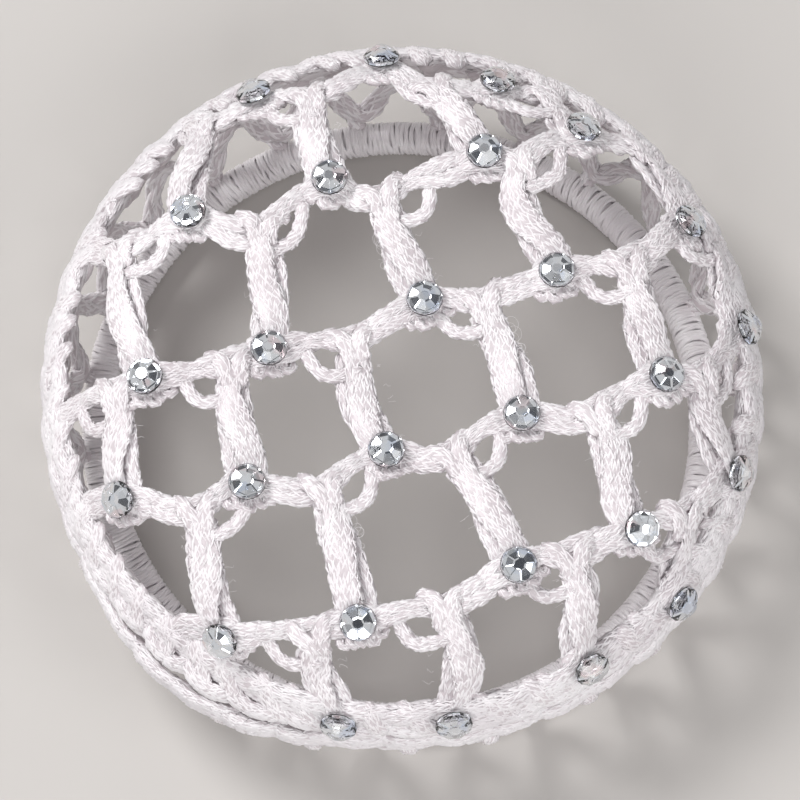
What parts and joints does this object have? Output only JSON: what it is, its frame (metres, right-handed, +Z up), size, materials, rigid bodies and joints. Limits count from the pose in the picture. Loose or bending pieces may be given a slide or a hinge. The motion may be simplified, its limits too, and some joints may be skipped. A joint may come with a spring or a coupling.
{
  "type": "crochet hair snood",
  "caption": "Open crocheted hair net in tape yarn, stretched into a round dome and gathered on an elastic edge, with flat-backed crystals at its stitches; it covers a hair bun.",
  "frame": {"origin": "middle of the overall box in X and Y, on the plane that the elastic edge rests on", "axes": "+Z up, along the dome's axis; the rows of the net run along X, and the bars hang from +Y towards -Y"},
  "size_m": [0.0948, 0.0957, 0.036],
  "materials": {
    "yarn": "satin white tape yarn",
    "edging": "dense white edging over elastic",
    "crystal": "cut and foil-backed"
  },
  "bodies": {
    "root": {"net_row_1": "yarn", "net_row_2": "yarn", "net_row_3": "yarn", "net_row_4": "yarn", "net_row_5": "yarn", "border_row": "yarn", "rim_chain": "yarn", "gathered_mesh": "yarn", "elastic_edge": "edging", "crystal_1_1": "crystal", "crystal_1_2": "crystal", "crystal_1_3": "crystal", "crystal_2_1": "crystal", "crystal_2_2": "crystal", "crystal_2_3": "crystal", "crystal_2_4": "crystal", "crystal_3_1": "crystal", "crystal_3_2": "crystal", "crystal_3_3": "crystal", "crystal_3_4": "crystal", "crystal_3_5": "crystal", "crystal_4_1": "crystal", "crystal_4_2": "crystal", "crystal_4_3": "crystal", "crystal_4_4": "crystal", "crystal_4_5": "crystal", "crystal_4_6": "crystal", "crystal_5_1": "crystal", "crystal_5_2": "crystal", "crystal_5_3": "crystal", "crystal_5_4": "crystal", "crystal_5_5": "crystal", "crystal_6_1": "crystal", "crystal_6_2": "crystal", "crystal_6_3": "crystal", "crystal_6_4": "crystal"}
  },
  "joints": []
}
